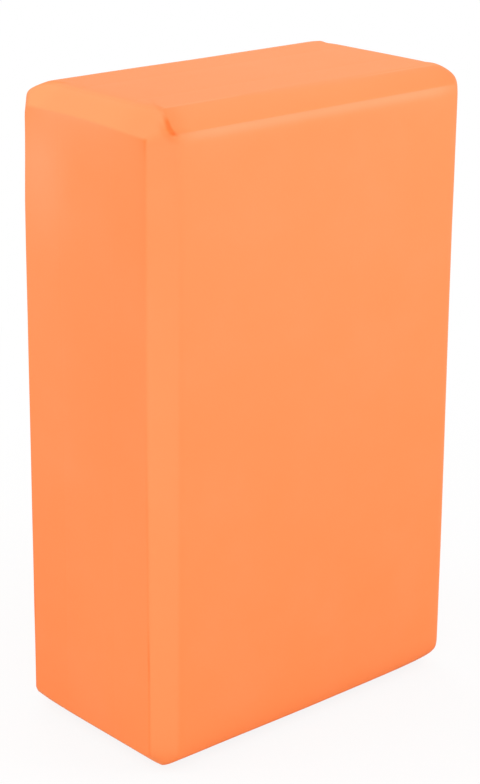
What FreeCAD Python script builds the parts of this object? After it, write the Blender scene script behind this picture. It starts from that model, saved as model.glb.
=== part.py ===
import FreeCAD, Part
import os
import re
import Sketcher

# Foam yoga block, standing on its end: X across the broad faces, Y through the sheets, Z up.
# The origin is the middle of the bottom end. The front broad face looks along -Y.

doc = FreeCAD.newDocument("yoga_block")
sheet = doc.addObject("Spreadsheet::Sheet", "sizes")

# Driving dimensions in millimetres
sizes = {
    "width": 140.0,            # across the broad faces
    "height": 230.0,           # from end to end
    "foam_thickness": 26.5,    # one foam sheet
    "film_thickness": 0.25,    # one adhesive film
    "film_setback": 1.0,       # from the foam's outline in to the film's
    "corner_bevel": 7.5,       # along the four short edges through all sheets
    "side_bevel": 7.4,         # along the upright edges of the broad faces
    "end_bevel_depth": 9.6,    # along the ends of the broad faces, measured on the end face
    "end_bevel_drop": 6.2,     # the same bevel, measured on the broad face
    "overrun": 2.0,            # how far each cutting outline runs past the foam
}
for row, (alias, value) in enumerate(sizes.items(), start=1):
    cell = "A%d" % row
    sheet.set(cell, str(value))
    sheet.setAlias(cell, alias)
doc.recompute()


def value_of(expression):
    """The present value of an expression in the sizes."""
    return sheet.evalExpression(expression)


def sized(expression):
    """The same expression with each size's name led by its sheet's name."""
    return re.sub(r"[a-z_]+", lambda size: "sizes." + size.group(), expression)


def sketch_on(body, role, name):
    """A sketch on one of the body's own origin planes."""
    plane = next(o for o in body.Origin.OriginFeatures if o.Role == role)
    sketch = body.newObject("Sketcher::SketchObject", name)
    sketch.AttachmentSupport = [(plane, "")]
    sketch.MapMode = "FlatFace"
    return sketch


def draw_loop(sketch, corners):
    """A closed loop of straight lines, each corner held by two expressions in the sizes."""
    points = [FreeCAD.Vector(value_of(u), value_of(v), 0) for u, v in corners]
    first = sketch.GeometryCount
    for start, end in zip(points, points[1:] + points[:1]):
        sketch.addGeometry(Part.LineSegment(start, end), False)
    for i, (u, v) in enumerate(corners):
        line = first + i
        following = first + (i + 1) % len(corners)
        sketch.addConstraint(Sketcher.Constraint("Coincident", line, 2, following, 1))
        for kind, expression, value in (("DistanceX", u, points[i].x), ("DistanceY", v, points[i].y)):
            held = sketch.addConstraint(Sketcher.Constraint(kind, -1, 1, line, 1, value))
            sketch.setExpression("Constraints[%d]" % held, sized(expression))


def block_outline(setback):
    """The eight corners of the block seen from the front, set in from the outline by an expression."""
    half = "(width / 2 - %s)" % setback
    low = setback
    high = "(height - %s)" % setback
    return [
        ("-%s + corner_bevel" % half, low),
        ("%s - corner_bevel" % half, low),
        (half, "%s + corner_bevel" % low),
        (half, "%s - corner_bevel" % high),
        ("%s - corner_bevel" % half, high),
        ("-%s + corner_bevel" % half, high),
        ("-%s" % half, "%s - corner_bevel" % high),
        ("-%s" % half, "%s + corner_bevel" % low),
    ]


def new_slab(label, setback, thickness, middle):
    """A slab of the block's outline, its mid-plane at the expression middle along Y."""
    body = doc.addObject("PartDesign::Body", label)
    body.Label = label
    outline = sketch_on(body, "XZ_Plane", label + "_outline")
    draw_loop(outline, block_outline(setback))
    pad = body.newObject("PartDesign::Pad", label + "_slab")
    pad.Profile = outline
    pad.Midplane = True
    pad.setExpression("Length", sized(thickness))
    body.setExpression("Placement.Base.y", sized(middle))
    doc.recompute()
    return body


def cut_through(body, role, name, loops):
    """Cuts the loops right through the body, both ways from the plane, and makes sure foam was removed."""
    before = body.Shape.Volume
    profile = sketch_on(body, role, name + "_outline")
    for corners in loops:
        draw_loop(profile, corners)
    pocket = body.newObject("PartDesign::Pocket", name)
    pocket.Profile = profile
    pocket.Type = "ThroughAll"
    pocket.Midplane = True
    doc.recompute()
    if not body.Shape.Volume < before:
        raise RuntimeError(name + " removed nothing")


def bevel_broad_face(body, outward):
    """Bevels the four edges of a sheet's broad face; outward is the sign of that face's Y."""
    face = "%s1 * foam_thickness / 2" % outward
    past_face = "%s1 * (foam_thickness / 2 + overrun)" % outward
    below_face = "%s1 * (foam_thickness / 2 - end_bevel_depth)" % outward
    beside_face = "%s1 * (foam_thickness / 2 - side_bevel)" % outward
    end_cuts = []
    for end, past_end, drop in (
        ("height", "height + overrun", "height - end_bevel_drop"),
        ("0", "-overrun", "end_bevel_drop"),
    ):
        end_cuts.append([
            (face, drop),
            (below_face, end),
            (below_face, past_end),
            (past_face, past_end),
            (past_face, drop),
        ])
    cut_through(body, "YZ_Plane", body.Label + "_end_bevels", end_cuts)
    side_cuts = []
    for side in ("-", "+"):
        edge = "%s1 * width / 2" % side
        past_edge = "%s1 * (width / 2 + overrun)" % side
        inner = "%s1 * (width / 2 - side_bevel)" % side
        side_cuts.append([
            (inner, face),
            (edge, beside_face),
            (past_edge, beside_face),
            (past_edge, past_face),
            (inner, past_face),
        ])
    cut_through(body, "XY_Plane", body.Label + "_side_bevels", side_cuts)


# Sheets and films from the front to the back
sheet_pitch = "(foam_thickness + film_thickness)"
front = new_slab("front_foam_sheet", "0", "foam_thickness", "-" + sheet_pitch)
front_film = new_slab("front_glue_film", "film_setback", "film_thickness", "-%s / 2" % sheet_pitch)
middle = new_slab("middle_foam_sheet", "0", "foam_thickness", "0")
rear_film = new_slab("rear_glue_film", "film_setback", "film_thickness", "%s / 2" % sheet_pitch)
rear = new_slab("rear_foam_sheet", "0", "foam_thickness", sheet_pitch)
bevel_broad_face(front, "-")
bevel_broad_face(rear, "+")
doc.recompute()

# Nothing is written unless every object and every shape is sound
for thing in doc.Objects:
    if "Invalid" in thing.State or "Error" in thing.State:
        raise RuntimeError("%s is %s" % (thing.Label, thing.State))
sub_parts = [front, front_film, middle, rear_film, rear]
for body in sub_parts:
    if body.Shape.isNull() or not body.Shape.isValid():
        raise RuntimeError(body.Label + " has no sound shape")

os.makedirs("parts", exist_ok=True)
for body in sub_parts:
    body.Shape.exportStep("parts/%s.step" % body.Label)
    box = body.Shape.BoundBox
    print("%-18s %8.1f mm3  Y %7.3f to %7.3f" % (body.Label, body.Shape.Volume, box.YMin, box.YMax))
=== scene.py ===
import math
from types import SimpleNamespace
import bpy
from mathutils import Matrix, Vector


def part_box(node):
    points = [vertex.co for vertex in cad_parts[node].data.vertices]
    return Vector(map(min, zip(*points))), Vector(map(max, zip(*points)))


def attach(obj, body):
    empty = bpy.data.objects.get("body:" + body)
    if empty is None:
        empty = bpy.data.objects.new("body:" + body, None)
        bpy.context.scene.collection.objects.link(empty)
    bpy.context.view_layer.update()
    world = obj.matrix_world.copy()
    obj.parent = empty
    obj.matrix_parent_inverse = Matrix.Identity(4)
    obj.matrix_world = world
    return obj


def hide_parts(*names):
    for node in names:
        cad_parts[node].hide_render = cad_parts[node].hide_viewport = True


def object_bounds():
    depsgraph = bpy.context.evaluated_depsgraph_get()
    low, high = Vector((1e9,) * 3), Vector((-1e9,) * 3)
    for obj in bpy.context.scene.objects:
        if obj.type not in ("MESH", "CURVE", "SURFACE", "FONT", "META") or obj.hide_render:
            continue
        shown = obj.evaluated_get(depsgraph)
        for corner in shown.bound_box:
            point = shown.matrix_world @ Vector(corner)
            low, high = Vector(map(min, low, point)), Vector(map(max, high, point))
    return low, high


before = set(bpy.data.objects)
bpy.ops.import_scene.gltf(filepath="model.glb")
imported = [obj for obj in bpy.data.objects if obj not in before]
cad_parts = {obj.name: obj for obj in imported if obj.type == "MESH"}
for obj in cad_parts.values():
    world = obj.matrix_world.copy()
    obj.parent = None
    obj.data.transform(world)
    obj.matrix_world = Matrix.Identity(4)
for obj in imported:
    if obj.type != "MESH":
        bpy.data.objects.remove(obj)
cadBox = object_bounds()
print("frame loaded:", ", ".join(sorted(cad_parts)))

mm = 0.001
tiny = 0.001  # keeps a division off zero
scene = bpy.context.scene

# Sizes that come from the frame, in millimetres
blockWidth, blockDepth, blockHeight = (round((high - low) / mm, 3) for low, high in zip(*cadBox))
filmNear, filmFar = (float(corner[1]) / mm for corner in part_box("rear_glue_film"))
filmMiddle = round((filmNear + filmFar) / 2, 3)
filmHalf = round((filmFar - filmNear) / 2, 3)


class Wire:  # an output socket that can stand in a sum
    def __init__(self, tree, socket=None):
        self.tree = tree
        self.socket = socket

    def node(self, kind, settings, sockets, output=0):  # any node, its settings before its sockets
        made = self.tree.nodes.new(kind)
        for name, value in settings.items():
            setattr(made, name, value)
        for key, value in sockets.items():
            if isinstance(value, Wire):
                value.into(made, key)
            else:
                made.inputs[key].default_value = value
        return Wire(self.tree, made.outputs[output])

    def into(self, node, key):
        self.tree.links.new(self.socket, node.inputs[key])

    def maths(self, operation, *values):
        return self.node("ShaderNodeMath", {"operation": operation}, dict(enumerate(values)))

    def __add__(self, other):
        return self.maths("ADD", self, other)

    def __sub__(self, other):
        return self.maths("SUBTRACT", self, other)

    def __rsub__(self, other):
        return self.maths("SUBTRACT", other, self)

    def __mul__(self, other):
        return self.maths("MULTIPLY", self, other)

    def __truediv__(self, other):
        return self.maths("DIVIDE", self, other)

    def __rtruediv__(self, other):
        return self.maths("DIVIDE", other, self)

    def __neg__(self):
        return self.maths("MULTIPLY", self, -1.0)

    def __abs__(self):
        return self.maths("ABSOLUTE", self)

    __radd__ = __add__
    __rmul__ = __mul__

    def sign(self):
        return self.maths("SIGN", self)

    def exp(self):
        return self.maths("EXPONENT", self)

    def least(self, other):
        return self.maths("MINIMUM", self, other)

    def most(self, other):
        return self.maths("MAXIMUM", self, other)

    def softMost(self, other, softness):  # the larger of two, rounded over where they meet
        return self.maths("SMOOTH_MAX", self, other, softness)

    def hump(self, width):  # 1 at zero, falling away on both sides
        share = self / width
        return (-share * share).exp()

    def fade(self, reach):  # 1 at zero, falling away above it
        return (-self / reach).exp()

    def ramp(self, start, end):  # 0 at the start, 1 at the end, eased at both
        return self.node(
            "ShaderNodeMapRange",
            {"interpolation_type": "SMOOTHSTEP"},
            {0: self, 1: start, 2: end, 3: 0.0, 4: 1.0},
        )

    def rise(self, strength, start, end):  # a ramp up to a strength
        return strength * self.ramp(start, end)

    def mix(self, a, b):  # colour a at 0, b at 1
        return self.node("ShaderNodeMix", {"data_type": "RGBA"}, {0: self, 6: a, 7: b}, 2)

    def parts(self):
        split = self.node("ShaderNodeSeparateXYZ", {}, {0: self}).socket.node
        return [Wire(self.tree, split.outputs[axis]) for axis in "XYZ"]

    def vector(self, x, y, z):
        return self.node("ShaderNodeCombineXYZ", {}, {0: x, 1: y, 2: z})

    def vectorMaths(self, operation, *values):
        return self.node("ShaderNodeVectorMath", {"operation": operation}, dict(enumerate(values)))

    def times(self, factor):  # a vector scaled by a number
        return self.node("ShaderNodeVectorMath", {"operation": "SCALE"}, {0: self, "Scale": factor})


def between(a, b, share):
    return a + (b - a) * share


# One foam sheet, in millimetres. Front and rear sheets have a bevelled broad face, the middle one has none.
foamSheet = {
    "Side": 0,  # -1 front, 0 middle, 1 rear
    "Edge Rows": 62,  # mesh rows over one edge
    "Across Rows": 16,
    "Up Rows": 24,
    "Through Rows": 6,
    "Settle Steps": 16,  # how often the rows are moved towards the skin
    "Edge Reach": 16.0,  # how far in from the faces the edges are shaped
    "Width": blockWidth,
    "Depth": blockDepth,
    "Height": blockHeight,
    "Bond": filmMiddle,  # middle of the glue film, from the block's middle
    "Film Pocket": filmHalf,  # how deep the film sits in each sheet
    "Pocket Start": 0.94,  # where the pocket rises to the rim, as a share of the way out
    "Pocket End": 0.97,
    "Seam Reach": 0.3,  # how far from a bond its seam shows
    "Seam Depth": 0.02,
    "Front Bevel Depth": 9.7,  # front end bevel, measured on the end
    "Front Bevel Flare": 2.4,  # how much deeper it grows at the top towards the left
    "Rear Bevel Depth": 10.3,
    "End Bevel Drop": 6.1,  # both end bevels, measured on the broad face
    "Foot Lift": 0.9,  # how much higher the front one reaches at the foot towards the right
    "Toe Lift": 5.0,  # the same within a finger's width of the right side
    "Toe Reach": 8.0,
    "End Bevel Swell": 0.6,  # how far their middle stands proud of a straight cut
    "Side Bevel": 7.1,  # upright edges of the broad faces
    "Narrow Side Bevel": 5.8,  # the same low down on the right
    "Wide Side Bevel": 8.05,  # on the left side only, above the middle in front and at the top behind
    "Corner Bevel": 5.9,  # edges through all sheets, measured on the end
    "Wide Corner Bevel": 7.6,  # the same at the top on the left
    "Near Corner Bevel": 9.8,  # and there in front of the glue film
    "Front Corner Bevel": 5.0,  # the same at the top on the right, in front
    "Rear Corner Bevel": 6.6,  # and behind
    "Corner Drop": 6.75,  # the same edges, measured on the side: at the top on the left, midway
    "Near Corner Drop": 8.2,  # there in front
    "Far Corner Drop": 7.4,  # and behind
    "Right Corner Drop": 8.4,
    "Foot Corner Drop": 5.8,
    "Heel Lift": 2.0,  # how much higher it reaches on the left towards the rear
    "Heel Reach": 8.0,
    "Heel Inset": 7.0,  # where that lift is whole, in from the rear
    "Crisp": 0.55,  # roundness of a crisp arris
    "Face Roundness": 3.0,  # upright bevel into the broad face
    "Corner Roundness": 5.5,  # corner bevel into the end
    "Side Roundness": 3.0,  # corner bevel into the right side, at the top
    "Corner Blend": 4.0,  # upright bevel into the corner bevel
    "Near Blend": 2.2,  # the same at the nicked corner
    "End Roundness": 2.0,  # end bevel into the end
    "Left Mitre": 2.5,  # roundness where end and upright bevels meet
    "Right Mitre": 6.0,
    "Foot Mitre": 3.0,  # the same at the foot on the right
    "Roll": 0.45,  # how far the broad face leans back at the end bevel
    "Roll Reach": 2.6,
    "Groove": 0.32,  # knife line beside the upright bevel, at its deepest
    "Groove Width": 0.32,
    "Nick": 0.8,  # overcut where end and upright bevels meet, at its deepest
    "Nick Width": 0.75,
    "Nick Set": 2.85,  # how far the blade stood in from the corner
    "Unevenness": 0.25,  # slow waves of the skin
    "Wave Scale": 0.03,
    "Wave Detail": 2.0,
    "Wave Floor": 0.25,  # waves below this leave the skin flat
    "Seed": 4.0,
}


def sheetRows(new, size):  # a box of rows, closer together over the edges
    side = size["Side"]
    faced = abs(side)
    edgeRows = size["Edge Rows"]
    across = size["Across Rows"]
    up = size["Up Rows"]
    through = size["Through Rows"]
    reach = size["Edge Reach"]
    bond = size["Bond"]
    seam = size["Seam Reach"]
    faceRows = edgeRows * faced
    cube = new.node("GeometryNodeMeshCube", {}, {
        "Size": (2.0, 2.0, 2.0),
        "Vertices X": across + edgeRows * 2.0 + 1.0,
        "Vertices Y": through + faceRows + 1.0,
        "Vertices Z": up + edgeRows * 2.0 + 1.0,
    })
    stored = new.node("GeometryNodeStoreNamedAttribute", {"data_type": "FLOAT_VECTOR"}, {
        "Geometry": cube,
        "Name": "row",
        "Value": new.node("GeometryNodeInputPosition", {}, {}),
    })
    row = new.node("GeometryNodeInputNamedAttribute", {"data_type": "FLOAT_VECTOR"}, {"Name": "row"})
    rowX, rowY, rowZ = row.parts()

    def flatPart(at, rows, length):  # where an edge's rows spring from
        share = rows / (rows + edgeRows * 2.0)
        return (at / share).least(1.0).most(-1.0) * (length * 0.5 - reach)

    def fanPart(at, rows):  # 0 on the flat, 1 at the far row of the edge
        share = rows / (rows + edgeRows * 2.0)
        return ((abs(at) - share) / (1.0 - share)).most(0.0) * at.sign()

    # An outer sheet's rows run from its bond to its broad face, the middle one's from bond to bond
    turned = rowY * side
    lastShare = through * 2.0 / (through + faceRows) - 1.0
    rowsFromBond = ((turned + 1.0) / (lastShare + 1.0)).least(1.0) * through
    outerRoom = size["Depth"] * 0.5 - reach - bond - seam
    outerSpan = outerRoom * (rowsFromBond - 1.0).most(0.0) / (through - 1.0)
    outerY = side * (bond + seam * rowsFromBond.least(1.0) + outerSpan)
    rowsFromEnd = (1.0 - abs(rowY)) * through * 0.5
    innerSpan = (bond - seam) * (rowsFromEnd - 1.0).most(0.0) / (through * 0.5 - 1.0)
    innerY = rowY.sign() * (bond - seam * rowsFromEnd.least(1.0) - innerSpan)
    spring = new.vector(
        flatPart(rowX, across, size["Width"]),
        outerY + (1.0 - faced) * innerY,
        flatPart(rowZ, up, size["Height"]),
    )

    # Each row has a direction in which it is let out
    fanY = ((turned - lastShare) / (1.0 - lastShare).most(tiny)).most(0.0) * side
    fans = (fanPart(rowX, across), fanY, fanPart(rowZ, up))
    outward = abs(fans[0]).most(abs(fans[1])).most(abs(fans[2]))  # below 1 only on a bonded face
    angles = [part / outward.most(tiny) * (math.pi / 4) for part in fans]
    fan = new.vectorMaths("NORMALIZE", new.vector(*(angle.maths("TANGENT", angle) for angle in angles)))
    inPocket = outward.ramp(size["Pocket End"], size["Pocket Start"])
    pocket = (side - (1.0 - faced) * rowY.sign()) * inPocket * size["Film Pocket"]
    return SimpleNamespace(mesh=stored, spring=spring, fan=fan, outward=outward, pocket=pocket)


either = (-1.0, 1.0)  # one half of the block, or one bevel, into the other

# Places between which a bevel changes, in millimetres from the block's middle
bevelSpans = {
    "narrowing": (70.0, -100.0),  # side bevel on the right, going down
    "frontWidening": (-110.0, 30.0),  # side bevel on the left in front, going up
    "rearWidening": (70.0, 100.0),  # and behind
    "leftForward": (-15.5, -30.0),  # corner bevel on the end at the left, coming forward
    "rightBack": (-35.0, 35.0),  # and at the right, going back
    "dropBack": (2.0, 36.0),  # the same bevel on the left side, going back
    "dropForward": (5.0, -40.0),  # and coming forward
    "endSoftening": (-40.0, 10.0),  # arris of the end bevel, going right
    "sideSoftening": (14.0, 8.0),  # arris on the right side, as distances from the end
}


def bevelPlane(legA, legB, inA, inB):  # how far a point stands outside a bevel with these two legs
    square = legA * legA + legB * legB
    return (legA * legB - inA * legB - inB * legA) / square.maths("SQRT", square)


def blockSkin(place, size):  # how far a point stands outside the block, from its faces and bevels
    x, y, z = place.parts()
    halfWidth, halfDepth, halfHeight = (size[name] * 0.5 for name in ("Width", "Depth", "Height"))
    inX = halfWidth - abs(x)
    inY = halfDepth - abs(y)
    inZ = halfHeight - abs(z)
    onRight = x.ramp(*either)
    onLeft = 1.0 - onRight
    atBack = y.ramp(*either)
    inFront = 1.0 - atBack
    low = (-z).ramp(*either)
    high = 1.0 - low
    nearCorner = onLeft * inFront * high  # the nicked one

    # End bevels
    flare = size["Front Bevel Flare"] * x.ramp(halfWidth, -halfWidth) * high
    depth = between(size["Front Bevel Depth"] + flare, size["Rear Bevel Depth"], atBack)
    toeLift = size["Toe Lift"] * inX.fade(size["Toe Reach"]) + size["Foot Lift"] * x / halfWidth
    drop = size["End Bevel Drop"] + onRight * low * inFront * toeLift
    along = inY / depth - inZ / drop
    swell = size["End Bevel Swell"] * (1.0 - along * along).most(0.0)
    endBevel = bevelPlane(depth, drop, inY, inZ) - swell

    # Side bevels
    narrowed = onRight * z.ramp(*bevelSpans["narrowing"])
    faceLeg = between(size["Side Bevel"], size["Narrow Side Bevel"], narrowed)
    frontWide = z.ramp(*bevelSpans["frontWidening"])
    rearWide = z.ramp(*bevelSpans["rearWidening"])
    sideLeg = between(faceLeg, size["Wide Side Bevel"], onLeft * between(frontWide, rearWide, atBack))
    sideBevel = bevelPlane(faceLeg, sideLeg, inX, inY)

    # Corner bevels
    forward = y.ramp(*bevelSpans["leftForward"])
    leftLeg = between(size["Wide Corner Bevel"], size["Near Corner Bevel"], forward)
    back = y.ramp(*bevelSpans["rightBack"])
    rightLeg = between(size["Front Corner Bevel"], size["Rear Corner Bevel"], back)
    cornerLeg = between(between(leftLeg, rightLeg, onRight), size["Corner Bevel"], low)
    leftDrop = between(size["Corner Drop"], size["Far Corner Drop"], y.ramp(*bevelSpans["dropBack"]))
    leftDrop = between(leftDrop, size["Near Corner Drop"], y.ramp(*bevelSpans["dropForward"]))
    topDrop = between(leftDrop, size["Right Corner Drop"], onRight)
    beforeHeel = (halfDepth - size["Heel Inset"] - y).most(0.0)
    heelLift = size["Heel Lift"] * onLeft * beforeHeel.fade(size["Heel Reach"])
    cornerDrop = between(topDrop, size["Foot Corner Drop"] + heelLift, low)
    cornerBevel = bevelPlane(cornerLeg, cornerDrop, inX, inZ)

    # Faces and bevels run into one another, some crisp and some rounded
    belowDrop = (inZ - drop).most(0.0)
    face = size["Roll"] * belowDrop.fade(size["Roll Reach"]) - inY
    crisp = size["Crisp"]
    blend = between(size["Corner Blend"], size["Near Blend"], nearCorner)
    uprights = sideBevel.softMost(cornerBevel, between(blend, crisp, onLeft * atBack * low))
    rightMitre = between(size["Right Mitre"], size["Foot Mitre"], low)
    mitre = between(size["Left Mitre"], rightMitre, onRight)
    bevels = endBevel.softMost(uprights, between(mitre, crisp, nearCorner))
    endSoft = between(crisp, size["End Roundness"], x.ramp(*bevelSpans["endSoftening"]))
    topSoft = between(endSoft, size["Corner Roundness"], (cornerBevel - endBevel).ramp(*either))
    faceSoft = between(crisp, size["Face Roundness"], (sideBevel - endBevel).ramp(*either))
    highRight = onRight * high * inZ.ramp(*bevelSpans["sideSoftening"])
    sideSoft = between(crisp, size["Side Roundness"], highRight)
    shell = bevels.softMost(-inZ, topSoft).softMost(face, faceSoft).softMost(-inX, sideSoft)
    return SimpleNamespace(
        x=x, y=y, z=z, inX=inX, inY=inY, inZ=inZ, onLeft=onLeft, inFront=inFront, low=low, high=high,
        nearCorner=nearCorner, depth=depth, drop=drop, cornerDrop=cornerDrop,
        belowDrop=belowDrop, endBevel=endBevel, sideBevel=sideBevel, cornerBevel=cornerBevel,
        uprights=uprights, face=face, shell=shell,
    )


# What the knife left. Spans are heights for the line, and distances from the end for the nick.
knifeMarks = {
    "lineBelow": (0.35, 25.0, -25.0),  # strength of the knife line, and where it sets in
    "lineFoot": (0.25, -60.0, -68.0),
    "lineTop": (0.25, 96.0, 105.0),
    "slip": (0.5, -73.0, 6.0),  # where the knife went deepest: strength, height and width
    "lineSet": 0.3,  # how far beside the bevel it lies
    "covered": (1.0, 0.2),  # a mark ends where another face or bevel is cut this much deeper
    "blade": (0.7, -0.8, -0.9),  # the way the nick runs across the corner
    "bladeScale": 1.46,  # how fast the distance from the blade grows
    "nickStart": (1.2, 3.8),
    "nickEnd": (7.2, 6.0),
    "nickSide": (1.3, 0.2),  # how far it runs past the mitre, onto the end bevel
    "scratch": 0.15,  # faint cut along the mitre, above the nick
    "scratchWidth": 0.6,
    "scratchEnd": (4.0, 2.0),
}


def knifeCuts(skin, size):
    marks = knifeMarks
    slip, slipHeight, slipWidth = marks["slip"]
    pressed = skin.z.rise(*marks["lineBelow"]) + skin.z.rise(*marks["lineFoot"])
    pressed = pressed + slip * (skin.z - slipHeight).hump(slipWidth) + skin.z.rise(*marks["lineTop"])
    beside = (skin.sideBevel + skin.inX + marks["lineSet"]).hump(size["Groove Width"])
    line = pressed * beside * (skin.shell - skin.sideBevel.most(-skin.inX)).ramp(*marks["covered"])

    bladeX, bladeY, bladeZ = marks["blade"]
    blade = bladeX * skin.inX + bladeY * skin.inY + bladeZ * skin.inZ + size["Nick Set"]
    offBlade = blade / marks["bladeScale"]
    nick = offBlade.hump(size["Nick Width"])
    nick = nick * skin.inZ.ramp(*marks["nickStart"]) * skin.inZ.ramp(*marks["nickEnd"])
    offMitre = skin.endBevel - skin.uprights
    scratch = marks["scratch"] * offMitre.hump(marks["scratchWidth"]) * skin.inZ.ramp(*marks["scratchEnd"])
    nick = (nick + scratch) * skin.nearCorner * offMitre.ramp(*marks["nickSide"])
    bare = (skin.shell - skin.endBevel.most(skin.uprights)).ramp(*marks["covered"])
    depth = size["Groove"] * line + size["Nick"] * nick * bare
    return SimpleNamespace(line=line, nick=nick, depth=depth, offBlade=offBlade, offMitre=offMitre)


# How the finish differs over a sheet, painted highlight and painted shade included. Strengths are shares,
# places and widths are millimetres.
foamWear = {
    "arris": (-0.6, 0.6),  # a face into its bevels
    "rim": {  # painted highlight: pale band below the front end bevel, where its rounded edge catches the light
        "pale": 0.7,
        "down": 1.0,
        "width": 1.8,
        "edgePale": 0.3,
        "edgeReach": 3.0,
        "arris": (-0.1, 0.3),
        "ends": (4.0, 20.0),  # in from the sides
    },
    "lip": {  # painted highlight: pale line where the end bevel leaves the end
        "pale": 0.5,
        "set": 0.4,
        "width": 0.5,
        "corner": (0.0, 1.0),  # it ends at the corner bevels
        "gap": (20.0, 40.0),  # and is missing in the middle
    },
    "patch": {  # painted light: pale patch on the left side, lit from the rear left
        "pale": 0.64,
        "inset": 16.0,  # its middle, in from the rear
        "reach": 20.0,
        "down": 20.0,  # its middle, down from the end
        "spread": 28.0,
        "top": (4.0, 26.0),
        "front": (-10.0, 25.0),
    },
    "shoulder": {  # painted light: pale band below the left corner bevel
        "pale": 0.55,
        "reach": 5.0,
        "front": (-28.0, -4.0),
        "rear": (34.0, 14.0),
    },
    "freshCutAndLit": {  # bevels that were cut last, paler as fresh foam, with painted highlight on the top corner bevels
        "arris": (-0.8, 0.8),
        "pastEnd": 1.5,  # how far they run over onto the end
        "less": 0.55,  # high up on the side bevels
        "lessFrom": (1.0, 10.0, 90.0),
        "lessTop": (0.7, 90.0, 106.0),
        "lessSide": (-2.0, 0.0),
        "corner": (0.0, 2.0),
        "cornerLess": 0.4,  # on the corner bevels in front
        "cornerFront": (-26.0, -8.0),
        "cornerRear": (0.8, 17.0, 28.0),
    },
    "endShade": {  # painted shade on the end bevels
        "all": 0.03,
        "down": 0.13,  # towards the broad face
        "mitre": 0.35,  # beside the nicked corner's mitre
        "mitreStart": (-0.3, 0.3),
        "mitreEnd": (6.0, 0.0),
        "right": (0.1, 10.0, 55.0),
        "farRight": (0.15, 48.0, 68.0),
    },
    "topShade": {  # painted shade on the upper end
        "left": (0.08, 30.0, -50.0),
        "farLeft": (0.05, -20.0, -60.0),
    },
    "nickShade": {  # painted shade on the lip beside the nick
        "deep": 0.35,
        "set": 1.3,
        "width": 1.3,
        "start": (2.5, 5.0),
        "end": (10.0, 7.0),
    },
    "sideShade": {  # painted shade on the left side
        "all": 0.07,
        "front": (0.14, 30.0, -20.0),
        "frontHeight": (-70.0, 30.0),
        "rear": (0.1, 0.0, 30.0),
        "rearHeight": (0.0, -80.0),
        "pinch": 0.45,  # painted shade where the two bevels meet above it
        "pinchDown": 3.125,
        "upright": (0.2, 30.0, 100.0),  # beside the upright bevel, going up
        "uprightReach": 1.8,
    },
    "lineShade": 0.6,  # painted shade in the knife line
}


def skinZones(skin):  # which part of the skin a point is on
    bevelled = skin.endBevel.most(skin.sideBevel).most(skin.cornerBevel)
    faces = skin.face.most(-skin.inX)
    pastEnd = -skin.inZ - foamWear["freshCutAndLit"]["pastEnd"]
    arris = foamWear["arris"]
    return SimpleNamespace(
        onFace=(skin.face - bevelled).ramp(*foamWear["rim"]["arris"]),
        onSide=(-skin.inX - bevelled).ramp(*arris) * skin.onLeft,
        onTop=(-skin.inZ - bevelled).ramp(*arris) * skin.high,
        onBevel=(bevelled - faces.most(-skin.inZ)).ramp(*arris),
        onCut=(bevelled - faces.most(pastEnd)).ramp(*foamWear["freshCutAndLit"]["arris"]),
        onCorner=(skin.cornerBevel - skin.endBevel.most(skin.sideBevel)).ramp(*either),
        onUpright=(skin.cornerBevel.most(skin.sideBevel) - skin.endBevel).ramp(*either),
        byEdge=skin.belowDrop.fade(foamWear["rim"]["edgeReach"]),
        belowCorner=(skin.inZ - skin.cornerDrop).most(0.0),
    )


def paintedLightTone(skin, zones):  # painted highlight and painted light: where the skin is drawn paler as light falls on it
    rim = foamWear["rim"]
    band = rim["pale"] * (skin.belowDrop - rim["down"]).hump(rim["width"]) + rim["edgePale"] * zones.byEdge
    tone = zones.onFace * band * skin.high * skin.inX.ramp(*rim["ends"])
    lip = foamWear["lip"]
    line = (skin.inY - skin.depth - lip["set"]).hump(lip["width"])
    line = line * (-skin.inZ - skin.cornerBevel).ramp(*lip["corner"]) * abs(skin.x).ramp(*lip["gap"])
    tone = tone + lip["pale"] * line * skin.high * skin.inFront
    patch = foamWear["patch"]
    litPatch = (skin.inY - patch["inset"]).hump(patch["reach"])
    litPatch = litPatch * (skin.inZ - patch["down"]).hump(patch["spread"])
    litPatch = litPatch * skin.inZ.ramp(*patch["top"]) * skin.y.ramp(*patch["front"]) * skin.high
    shoulder = foamWear["shoulder"]
    midway = skin.y.ramp(*shoulder["front"]) * skin.y.ramp(*shoulder["rear"]) * skin.high
    edge = shoulder["pale"] * midway * zones.belowCorner.fade(shoulder["reach"])
    return tone + zones.onSide * (patch["pale"] * litPatch + edge)


def freshCutAndLitTone(skin, zones):  # where a bevel shows fresh foam, with painted highlight on the top corner bevels
    fresh = foamWear["freshCutAndLit"]
    high = skin.z.rise(*fresh["lessFrom"]) + skin.z.rise(*fresh["lessTop"])
    high = high * (skin.sideBevel - skin.cornerBevel).ramp(*fresh["lessSide"])
    corner = (skin.cornerBevel - skin.sideBevel).ramp(*fresh["corner"]) * skin.high
    # painted highlight on the top corner bevels, strongest towards the rear end
    more = skin.y.ramp(*fresh["cornerFront"]) - fresh["cornerLess"] + skin.y.rise(*fresh["cornerRear"])
    return zones.onCut * zones.onUpright * (1.0 - fresh["less"] * high + corner * more)


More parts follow.
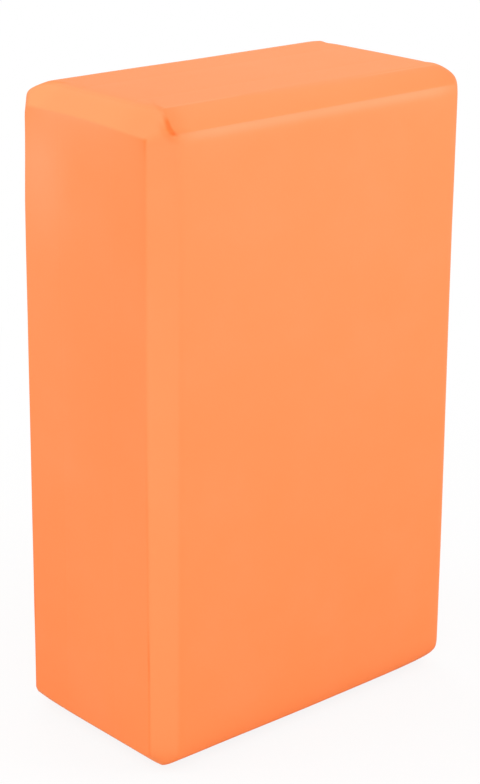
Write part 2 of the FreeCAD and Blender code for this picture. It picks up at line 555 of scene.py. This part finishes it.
def shadeTone(skin, zones, cuts):  # painted shade: where the orange is drawn deeper because less light falls there
    end = foamWear["endShade"]
    mitre = skin.nearCorner * cuts.offMitre.ramp(*end["mitreStart"]) * cuts.offMitre.ramp(*end["mitreEnd"])
    deep = end["all"] + end["down"] * skin.inZ / skin.drop + end["mitre"] * mitre
    deep = deep + skin.x.rise(*end["right"]) + skin.x.rise(*end["farRight"])
    tone = zones.onBevel * (1.0 - zones.onUpright) * skin.high * deep
    top = foamWear["topShade"]
    tone = tone + zones.onTop * (skin.x.rise(*top["left"]) + skin.x.rise(*top["farLeft"]))
    nick = foamWear["nickShade"]
    beside = (cuts.offBlade + nick["set"]).hump(nick["width"])
    beside = beside * skin.inZ.ramp(*nick["start"]) * skin.inZ.ramp(*nick["end"])
    tone = tone + nick["deep"] * skin.nearCorner * beside
    side = foamWear["sideShade"]
    front = skin.y.rise(*side["front"]) * skin.z.ramp(*side["frontHeight"])
    rear = skin.y.rise(*side["rear"]) * skin.z.ramp(*side["rearHeight"])
    byUpright = (-skin.sideBevel - skin.inX).most(0.0).fade(side["uprightReach"]) * skin.inFront
    pinch = side["pinch"] * zones.belowCorner.fade(side["pinchDown"]) * skin.high
    return tone + zones.onSide * (
        side["all"] + front + rear + byUpright * (pinch + skin.z.rise(*side["upright"]))
    )


def foamMarks(skin, cuts):  # what the finish needs to know of the skin, as attributes of the mesh
    zones = skinZones(skin)
    return {
        "paintedLight": paintedLightTone(skin, zones),
        "cut": freshCutAndLitTone(skin, zones),
        # painted shade in the nick and the knife line
        "knifeGrooveShade": cuts.nick + foamWear["lineShade"] * cuts.line,
        # painted shade along the foot of the ends
        "footShade": zones.byEdge * skin.low * (1.0 - zones.onSide.most(zones.onCorner)),
        "shade": shadeTone(skin, zones, cuts),
    }


def sheetTree(material):
    tree = bpy.data.node_groups.new("foamSheet", "GeometryNodeTree")
    keys = {}
    for name, value in foamSheet.items():
        kind = "NodeSocketInt" if isinstance(value, int) else "NodeSocketFloat"
        keys[name] = tree.interface.new_socket(name, in_out="INPUT", socket_type=kind).identifier
    tree.interface.new_socket("Sheet", in_out="OUTPUT", socket_type="NodeSocketGeometry")
    groupIn = tree.nodes.new("NodeGroupInput")
    size = {name: Wire(tree, groupIn.outputs[name]) for name in foamSheet}
    new = Wire(tree)
    rows = sheetRows(new, size)
    place = new.node("GeometryNodeInputPosition", {}, {})
    skin = blockSkin(place, size)
    cuts = knifeCuts(skin, size)
    seamLine = size["Seam Depth"] * (abs(skin.y) - size["Bond"]).hump(size["Seam Reach"] * 0.5)
    wave = new.node("ShaderNodeTexNoise", {"noise_dimensions": "4D"}, {
        "Vector": place,
        "W": size["Seed"],
        "Scale": size["Wave Scale"],
        "Detail": size["Wave Detail"],
    })
    uneven = size["Unevenness"] * (wave - size["Wave Floor"]).most(0.0)
    outside = skin.shell + cuts.depth + seamLine + uneven

    # Each row is let out along its fan until it meets the skin
    begun = new.node("GeometryNodeSetPosition", {}, {
        "Geometry": rows.mesh,
        "Position": new.vectorMaths("ADD", rows.spring, rows.fan.times(size["Edge Reach"])),
    })
    loopIn = tree.nodes.new("GeometryNodeRepeatInput")
    loopOut = tree.nodes.new("GeometryNodeRepeatOutput")
    loopIn.pair_with_output(loopOut)
    size["Settle Steps"].into(loopIn, "Iterations")
    begun.into(loopIn, "Geometry")
    moved = new.node("GeometryNodeSetPosition", {}, {
        "Geometry": Wire(tree, loopIn.outputs["Geometry"]),
        "Offset": rows.fan.times(-outside),
    })
    moved.into(loopOut, "Geometry")

    # Bonded faces are filled in, with a shallow pocket for the glue film
    fromSpring = new.vectorMaths("SUBTRACT", place, rows.spring).times(rows.outward)
    sheet = new.node("GeometryNodeSetPosition", {}, {
        "Geometry": Wire(tree, loopOut.outputs["Geometry"]),
        "Position": new.vectorMaths("ADD", rows.spring, fromSpring),
        "Offset": new.vector(0.0, rows.pocket, 0.0),
    })
    for name, value in foamMarks(skin, cuts).items():
        sheet = new.node("GeometryNodeStoreNamedAttribute", {"data_type": "FLOAT"}, {
            "Geometry": sheet,
            "Name": name,
            "Value": value,
        })
    sheet = new.node("GeometryNodeRemoveAttribute", {}, {"Geometry": sheet, "Name": "row"})
    sheet = new.node("GeometryNodeTransform", {}, {
        "Geometry": sheet,
        "Translation": new.vector(0.0, 0.0, size["Height"] * 0.5 * mm),
        "Scale": (mm, mm, mm),
    })
    sheet = new.node("GeometryNodeRealizeInstances", {}, {"Geometry": sheet})
    sheet = new.node("GeometryNodeSetMaterial", {}, {"Geometry": sheet, "Material": material})
    sheet.into(tree.nodes.new("NodeGroupOutput"), "Sheet")
    return tree, keys


sharpAngle = 50  # degrees between two faces of a mesh, past which their edge is shaded sharp


def cutSheet(name, side, tree, keys):
    piece = bpy.data.objects.new(name, bpy.data.meshes.new(name))
    scene.collection.objects.link(piece)
    shaper = piece.modifiers.new("foamSheet", "NODES")
    shaper.node_group = tree
    for key, value in {**foamSheet, "Side": side}.items():
        shaper[keys[key]] = value
    shaped = bpy.data.meshes.new_from_object(piece.evaluated_get(bpy.context.evaluated_depsgraph_get()))
    piece.modifiers.clear()
    piece.data = shaped
    shaped.name = name
    shaped.shade_smooth()
    shaped.set_sharp_from_angle(angle=math.radians(sharpAngle))
    print("cut", name, len(shaped.polygons), "faces")
    return piece


def newMaterial(name):
    material = bpy.data.materials.new(name)
    material.use_nodes = True
    tree = material.node_tree
    return material, Wire(tree), tree.nodes["Principled BSDF"]


foamFinish = {
    "shadedFootOrange": (0.98, 0.27, 0.0825, 1.0),
    "litHeadOrange": (0.985, 0.294, 0.107, 1.0),
    "freshCutAndLit": (1.0, 0.36, 0.14, 1.0),
    "paleAndHighlightOrange": (1.0, 0.37, 0.18, 1.0),
    "paintedShadeOrange": (0.93, 0.2, 0.045, 1.0),
    "drift": 0.6,  # how far the clouds shift foot and head colours
    "cutAndLitShare": 0.34,
    "paintedLightShare": 0.74,
    "cloudShare": 0.2,
    "grainShare": 0.1,
    "footShadeShare": 0.4,
    "roughness": 0.62,
    "grainRough": 0.12,
    "cutRough": 0.05,
    "specular": 0.07,
    "sheen": 0.035,
    "sheenRoughness": 0.5,
    "cloudScale": 38.0,
    "cloudDetail": 3.0,
    "grainScale": 900.0,
    "grainDetail": 2.0,
    "cellScale": 1500.0,
    "cellShare": 0.5,  # of cells against grain in the bump
    "bump": 0.12,
    "bumpDepth": 0.0004,  # metres
}


def foamMaterial():
    finish = foamFinish
    material, new, skin = newMaterial("orangeFoam")
    place = new.node("ShaderNodeTexCoord", {}, {}, "Object")
    cells = new.node("ShaderNodeTexVoronoi", {}, {"Vector": place, "Scale": finish["cellScale"]})

    def noise(kind):  # about zero
        return new.node("ShaderNodeTexNoise", {}, {
            "Vector": place,
            "Scale": finish[kind + "Scale"],
            "Detail": finish[kind + "Detail"],
        }) - 0.5

    def mark(name):
        return new.node("ShaderNodeAttribute", {"attribute_name": name}, {}, "Fac")

    cloud = noise("cloud")
    grain = noise("grain")
    cut = mark("cut")
    height = place.parts()[2] / (blockHeight * mm)
    # cloud and grain are the foam's own tone; the last term adds painted highlight and painted light
    pale = cloud * finish["cloudShare"] + grain * finish["grainShare"] + mark("paintedLight") * finish["paintedLightShare"]
    # painted shade: the groove, foot and shade marks darken the orange
    deep = mark("knifeGrooveShade") + mark("footShade") * finish["footShadeShare"] + mark("shade")
    # painted shade and light: the orange is deeper towards the foot and paler towards the top
    colour = (height + cloud * finish["drift"]).mix(finish["shadedFootOrange"], finish["litHeadOrange"])
    # fresh cut foam, with painted highlight on the top corner bevels
    colour = (cut * finish["cutAndLitShare"]).mix(colour, finish["freshCutAndLit"])
    colour = pale.most(0.0).mix(colour, finish["paleAndHighlightOrange"])
    colour = deep.least(1.0).mix(colour, finish["paintedShadeOrange"])
    colour.into(skin, "Base Color")
    rough = finish["roughness"] + grain * finish["grainRough"] + cut * finish["cutRough"]
    rough.into(skin, "Roughness")
    bump = new.node("ShaderNodeBump", {}, {
        "Strength": finish["bump"],
        "Distance": finish["bumpDepth"],
        "Height": between(grain, cells, finish["cellShare"]),
    })
    bump.into(skin, "Normal")
    skin.inputs["Specular IOR Level"].default_value = finish["specular"]
    skin.inputs["Sheen Weight"].default_value = finish["sheen"]
    skin.inputs["Sheen Roughness"].default_value = finish["sheenRoughness"]
    return material


glueFinish = {
    "amber": (0.85, 0.42, 0.18, 1.0),
    "pale": (0.92, 0.55, 0.30, 1.0),
    "streakScale": 120.0,
    "streakDetail": 4.0,
    "roughness": 0.3,
    "streakRough": 0.3,
}


def glueMaterial():
    material, new, skin = newMaterial("meltedGlue")
    streaks = new.node("ShaderNodeTexNoise", {}, {
        "Vector": new.node("ShaderNodeTexCoord", {}, {}, "Object"),
        "Scale": glueFinish["streakScale"],
        "Detail": glueFinish["streakDetail"],
    })
    streaks.mix(glueFinish["amber"], glueFinish["pale"]).into(skin, "Base Color")
    (streaks * glueFinish["streakRough"] + glueFinish["roughness"]).into(skin, "Roughness")
    return material


orangeFoam = foamMaterial()
meltedGlue = glueMaterial()
tree, keys = sheetTree(orangeFoam)
for name, side in (("front_foam", -1), ("middle_foam", 0), ("rear_foam", 1)):
    piece = cutSheet(name, side, tree, keys)
    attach(piece, "root")
    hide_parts(name + "_sheet")
for name in ("front_glue_film", "rear_glue_film"):
    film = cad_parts[name]
    film.data.materials.clear()
    film.data.materials.append(meltedGlue)
print("pieces in place")


studio = {
    "worldLevel": 0.765,
    "floorSize": 8.0,
    "floorColour": (0.8, 0.8, 0.8, 1.0),
    "floorRoughness": 0.9,
    "white": (1.0, 1.0, 1.0, 1.0),
    "whiteNear": 0.88,  # share of plain white the camera sees beside the block
    "shadowReach": (0.1, 0.45),  # from the block's middle: the shadow fades to white between these
    "lampAim": (0.0, 0.0, 0.12),
}

lamps = {
    "frontRight": {"at": (0.3, -0.4, 0.5), "size": 0.35, "watts": 1.03},
    "leftRear": {"at": (-0.62, 0.28, 0.62), "size": 0.45, "watts": 1.4},
    "leftFront": {"at": (-0.5, -0.52, 0.66), "size": 0.5, "watts": 1.17},
    "lowFront": {"at": (-0.5, -0.62, 0.4), "size": 0.4, "watts": 0.52},
    "rearFill": {"at": (0.3, 0.62, 0.38), "size": 0.45, "watts": 1.5, "glint": False},
}


def seenDirectly(new):  # 1 for what the camera, a gloss or a clear piece looks at
    path = new.node("ShaderNodeLightPath", {}, {}).socket.node
    seen = [Wire(new.tree, path.outputs[name])
            for name in ("Is Camera Ray", "Is Glossy Ray", "Is Transmission Ray")]
    return seen[0].most(seen[1]).most(seen[2])


def paleFloor():
    half = studio["floorSize"] / 2
    corners = [(-half, -half, 0), (half, -half, 0), (half, half, 0), (-half, half, 0)]
    mesh = bpy.data.meshes.new("floor")
    mesh.from_pydata(corners, [], [(0, 1, 2, 3)])
    floor = bpy.data.objects.new("floor", mesh)
    scene.collection.objects.link(floor)
    material, new, skin = newMaterial("paleFloor")
    skin.inputs["Base Color"].default_value = studio["floorColour"]
    skin.inputs["Roughness"].default_value = studio["floorRoughness"]
    skin.inputs["Specular IOR Level"].default_value = 0.0
    glow = new.node("ShaderNodeEmission", {}, {"Color": studio["white"], "Strength": 1.0})
    place = new.node("ShaderNodeTexCoord", {}, {}, "Object")
    away = new.node("ShaderNodeVectorMath", {"operation": "LENGTH"}, {0: place}, "Value")
    both = new.node("ShaderNodeMixShader", {}, {
        0: seenDirectly(new) * between(studio["whiteNear"], 1.0, away.ramp(*studio["shadowReach"])),
        1: Wire(new.tree, skin.outputs[0]),
        2: glow,
    })
    both.into(material.node_tree.nodes["Material Output"], "Surface")
    mesh.materials.append(material)


def softWorld():
    world = bpy.data.worlds.new("softWorld")
    scene.world = world
    world.use_nodes = True
    background = world.node_tree.nodes["Background"]
    background.inputs["Color"].default_value = studio["white"]
    level = studio["worldLevel"]
    strength = seenDirectly(Wire(world.node_tree)) * (1.0 - level) + level
    strength.into(background, "Strength")


def addLamp(name, at, size, watts, glint=True):
    light = bpy.data.lights.new(name, "AREA")
    light.shape = "DISK"
    light.size = size
    light.energy = watts
    lamp = bpy.data.objects.new(name, light)
    lamp.location = at
    lamp.rotation_euler = (Vector(studio["lampAim"]) - Vector(at)).to_track_quat("-Z", "Y").to_euler()
    lamp.visible_glossy = glint
    scene.collection.objects.link(lamp)


paleFloor()
softWorld()
for name, lamp in lamps.items():
    addLamp(name, **lamp)
print("lamps:", ", ".join(lamps))


photoView = {
    "yaw": 41.569,  # degrees from +Y towards +X
    "pitch": 19.247,  # degrees downwards
    "roll": 0.581,
    "distance": 0.78864,  # metres
    "aim": (-0.00081, 0.00055, 0.11464),
    "lens": 101.37,  # millimetres, as the sensor's width
    "sensor": 36.0,
}


def addCamera():
    yaw, pitch, roll = (math.radians(photoView[name]) for name in ("yaw", "pitch", "roll"))
    ahead = Vector((math.sin(yaw) * math.cos(pitch), math.cos(yaw) * math.cos(pitch), -math.sin(pitch)))
    level = ahead.cross(Vector((0, 0, 1))).normalized()
    upright = level.cross(ahead)
    right = math.cos(roll) * level + math.sin(roll) * upright
    up = math.cos(roll) * upright - math.sin(roll) * level
    data = bpy.data.cameras.new("photoCamera")
    data.lens = photoView["lens"]
    data.sensor_width = photoView["sensor"]
    camera = bpy.data.objects.new("photoCamera", data)
    camera.matrix_world = Matrix((right, up, -ahead)).transposed().to_4x4()
    camera.location = Vector(photoView["aim"]) - photoView["distance"] * ahead
    scene.collection.objects.link(camera)
    scene.camera = camera


addCamera()
scene.view_settings.view_transform = "Standard"
print("camera set")
